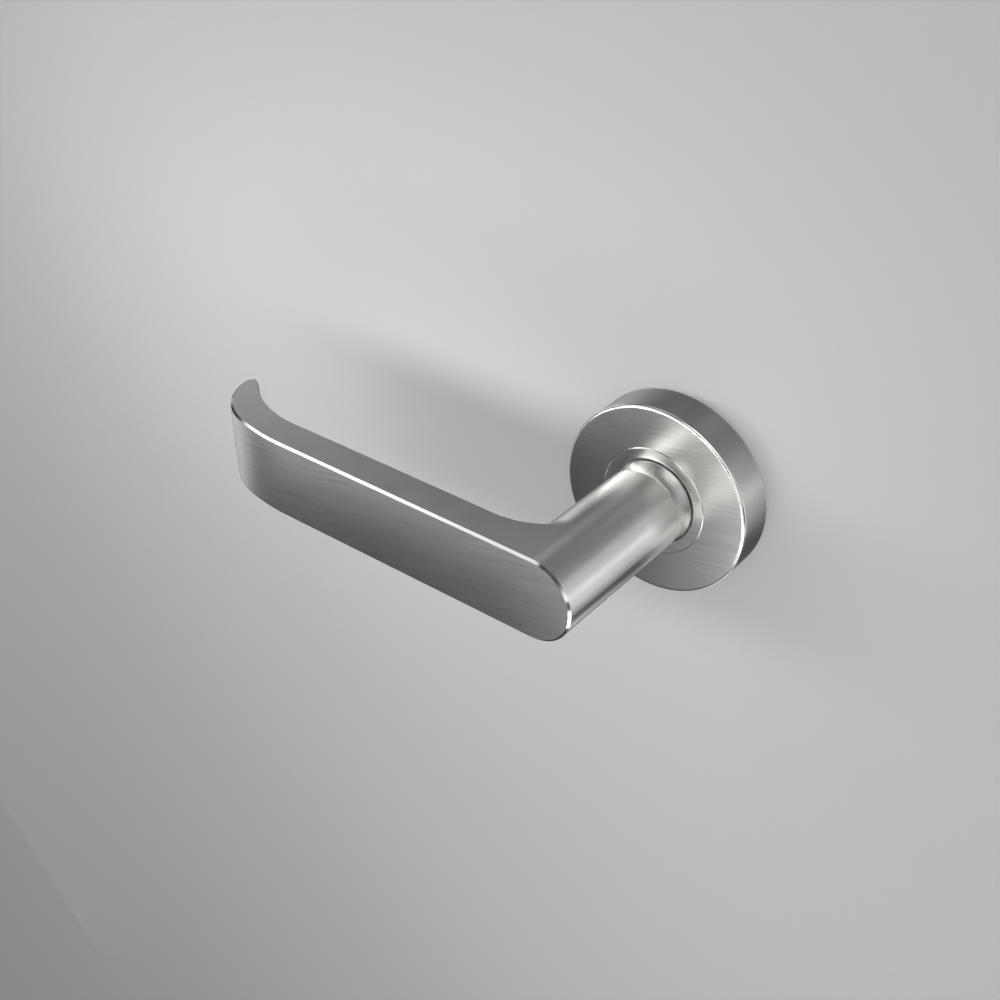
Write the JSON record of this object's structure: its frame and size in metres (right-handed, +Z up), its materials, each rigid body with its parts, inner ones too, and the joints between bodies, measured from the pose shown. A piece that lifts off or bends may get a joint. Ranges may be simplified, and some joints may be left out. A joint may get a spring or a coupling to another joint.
{
  "type": "door lever handle",
  "caption": "Sprung door lever handle on a round clip-on rose, flat grip with an end curled back to the door, square spindle and through-bolts.",
  "frame": {"origin": "on the spindle axis at the door's surface, at the centre of the rose's back face", "axes": "+Z up; +Y into the door along the spindle; the user stands on the -Y side; the grip points to -X"},
  "size_m": [0.1365, 0.1354, 0.052],
  "materials": {
    "stainless_brushed": "brushed",
    "stainless_lever": "satin with brushed front",
    "zinc_die_cast": "as cast",
    "nylon": "matt",
    "zinc_plated_steel": "bright zinc plated",
    "plain_steel": "drawn",
    "spring_steel": "oiled spring steel",
    "black_steel": "black oxide"
  },
  "bodies": {
    "rose": {"inner_rose": "zinc_die_cast", "neck_ring": "stainless_brushed", "bearing_bush": "nylon", "thrust_washer": "nylon", "return_spring": "spring_steel", "cassette_cover": "zinc_plated_steel", "cassette_screws": "zinc_plated_steel", "fixing_screws": "zinc_plated_steel", "cover_clip_ring": "spring_steel"},
    "cover": {"rose_cover": "stainless_brushed"},
    "lever": {"lever_body": "stainless_lever", "spindle": "plain_steel", "grub_screw": "black_steel", "spring_driver": "zinc_plated_steel", "retaining_washer": "zinc_plated_steel", "circlip": "spring_steel"}
  },
  "joints": [
    {"name": "lever_turn", "type": "hinge", "parent": "rose", "child": "lever", "pos_m": [0, 0, 0], "axis": [0, -1, 0], "range_deg": [0, 45], "stiffness_Nm_per_rad": 0.8, "springref_deg": -35.81, "deforming": ["return_spring"]},
    {"name": "cover_slide", "type": "slide", "parent": "rose", "child": "cover", "axis": [0, -1, 0], "range_m": [0, 0.03]}
  ]
}
